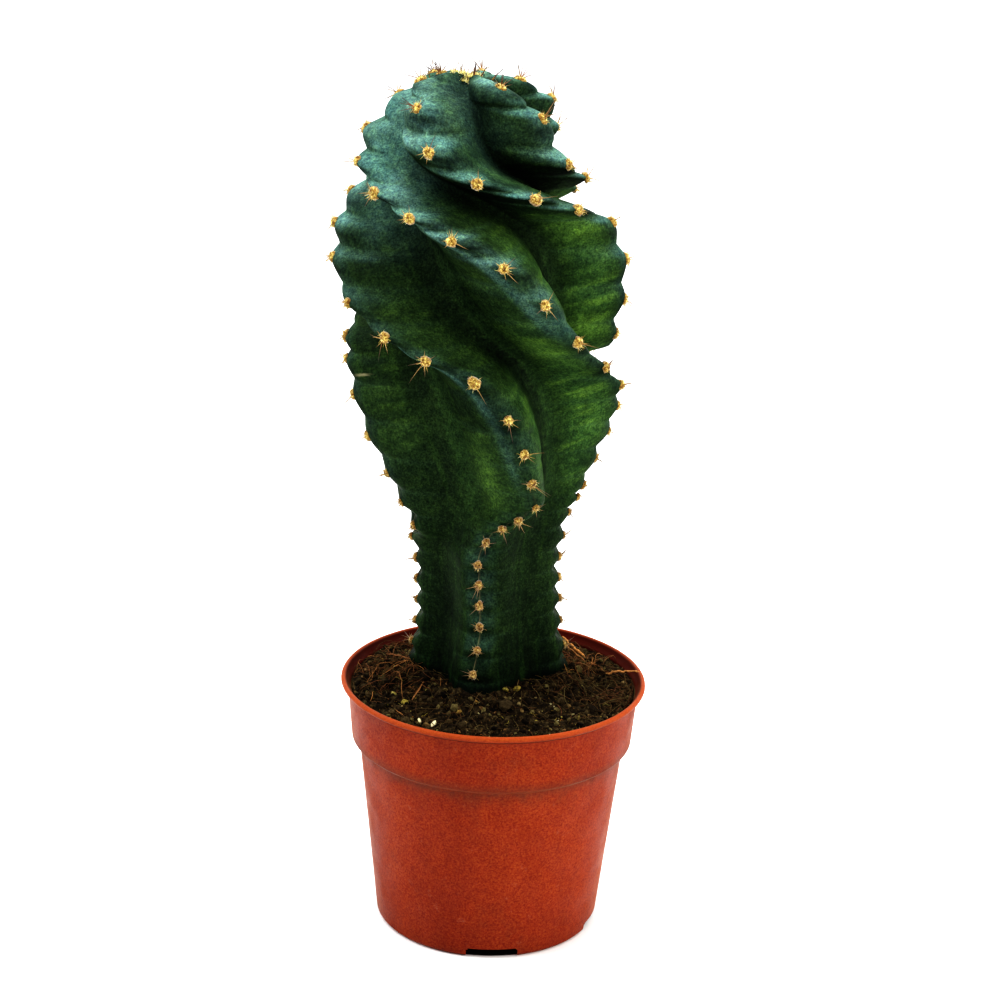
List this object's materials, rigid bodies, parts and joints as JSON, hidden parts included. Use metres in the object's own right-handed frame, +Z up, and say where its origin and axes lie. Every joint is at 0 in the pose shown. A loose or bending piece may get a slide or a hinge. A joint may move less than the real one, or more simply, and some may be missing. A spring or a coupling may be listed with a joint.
{
  "type": "spiral cactus in a pot",
  "caption": "Columnar cactus whose ribs wind round a swollen twisted body, with felt pads and spines along each rib, growing in peat in a tapered plastic nursery pot.",
  "frame": {"origin": "on the surface the pot stands on, under the middle of the whole plant and pot", "axes": "+Z up the plant, -Y towards the viewer of the picture, +X to the viewer's right"},
  "size_m": [0.1289, 0.1275, 0.3372],
  "materials": {
    "terracotta_plastic": "satin",
    "peat": "matte",
    "cactus_skin": "satin"
  },
  "bodies": {
    "root": {"pot": "terracotta_plastic", "soil": "peat", "cactus": "cactus_skin"}
  },
  "joints": []
}
